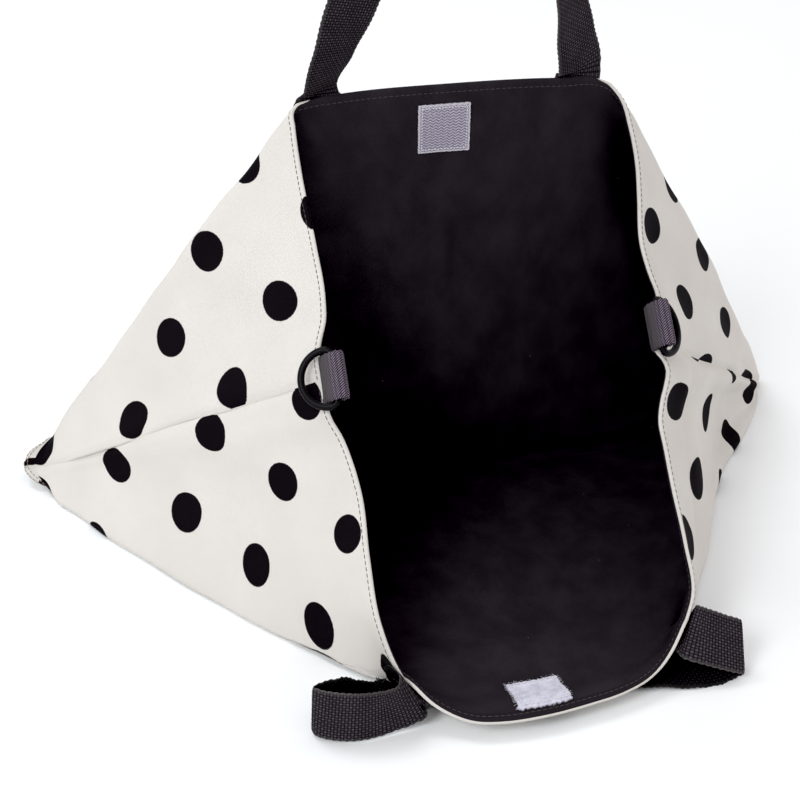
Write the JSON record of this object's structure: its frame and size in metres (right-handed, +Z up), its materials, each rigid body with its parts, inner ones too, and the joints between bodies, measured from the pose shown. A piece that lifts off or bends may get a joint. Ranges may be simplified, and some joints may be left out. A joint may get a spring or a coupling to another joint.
{
  "type": "tote bag",
  "caption": "Lined canvas tote bag lying on its front panel with the mouth held open, with webbing handles, a boxed base, side tabs with D-rings and a touch fastener inside the rim.",
  "frame": {"origin": "middle of the bounding box, on the surface that the front panel lies on", "axes": "+Z up from that surface, +X along the base to the right as seen into the mouth, +Y from the mouth towards the base"},
  "size_m": [0.4048, 0.2468, 0.4218],
  "materials": {
    "canvas": "cream cotton canvas with a printed pattern of near-black dots",
    "lining": "matte black woven lining",
    "webbing": "charcoal cotton webbing, coarse plain weave",
    "ring_metal": "black satin coating",
    "hook_tape": "grey moulded hooks on woven tape",
    "loop_tape": "pale grey brushed loops"
  },
  "bodies": {
    "root": {"front_panel": "canvas", "front_side_left": "canvas", "front_side_right": "canvas", "back_side_left": "canvas", "back_side_right": "canvas", "front_lining": "lining", "front_lining_left": "lining", "front_lining_right": "lining", "back_lining_left": "lining", "back_lining_right": "lining", "loop_patch": "loop_tape", "front_handle_end_left": "webbing", "front_handle_end_right": "webbing"},
    "back_wall": {"back_panel": "canvas", "back_lining": "lining", "base_panel": "canvas", "base_lining": "lining", "hook_patch": "hook_tape", "back_handle_end_left": "webbing", "back_handle_end_right": "webbing"},
    "left_seam": {"left_tab": "webbing"},
    "right_seam": {"right_tab": "webbing"},
    "left_ring": {"left_d_ring": "ring_metal"},
    "right_ring": {"right_d_ring": "ring_metal"},
    "back_handle": {"back_handle": "webbing"},
    "front_handle": {"front_handle": "webbing"}
  },
  "joints": [
    {"name": "mouth", "type": "hinge", "parent": "root", "child": "back_wall", "pos_m": [0, 0.081, 0.0003], "axis": [1, 0, 0], "range_deg": [0, 35], "deforming": ["front_side_left", "front_side_right", "back_side_left", "back_side_right", "front_lining_left", "front_lining_right", "back_lining_left", "back_lining_right"]},
    {"name": "left_seam_follow", "type": "hinge", "parent": "root", "child": "left_seam", "pos_m": [0, 0.081, 0.0003], "axis": [1, 0, 0], "range_deg": [0, 20]},
    {"name": "right_seam_follow", "type": "hinge", "parent": "root", "child": "right_seam", "pos_m": [0, 0.081, 0.0003], "axis": [1, 0, 0], "range_deg": [0, 20]},
    {"name": "back_handle_swing", "type": "hinge", "parent": "back_wall", "child": "back_handle", "pos_m": [0, 0.0866, 0.212], "axis": [1, 0, 0], "range_deg": [-120, 70]},
    {"name": "front_handle_pull", "type": "slide", "parent": "root", "child": "front_handle", "axis": [0, -1, 0], "range_m": [0, 0.025]},
    {"name": "left_ring_swing", "type": "hinge", "parent": "left_seam", "child": "left_ring", "pos_m": [-0.0796, -0.0144, 0.119], "axis": [0, 0.7059, 0.7083], "range_deg": [0, 255]},
    {"name": "right_ring_swing", "type": "hinge", "parent": "right_seam", "child": "right_ring", "pos_m": [0.0743, -0.0091, 0.1237], "axis": [0, -0.7059, -0.7083], "range_deg": [0, 255]}
  ],
  "couplings": [
    {"joint": "left_seam_follow", "follows": "mouth", "ratio": 0.5},
    {"joint": "right_seam_follow", "follows": "mouth", "ratio": 0.5}
  ]
}
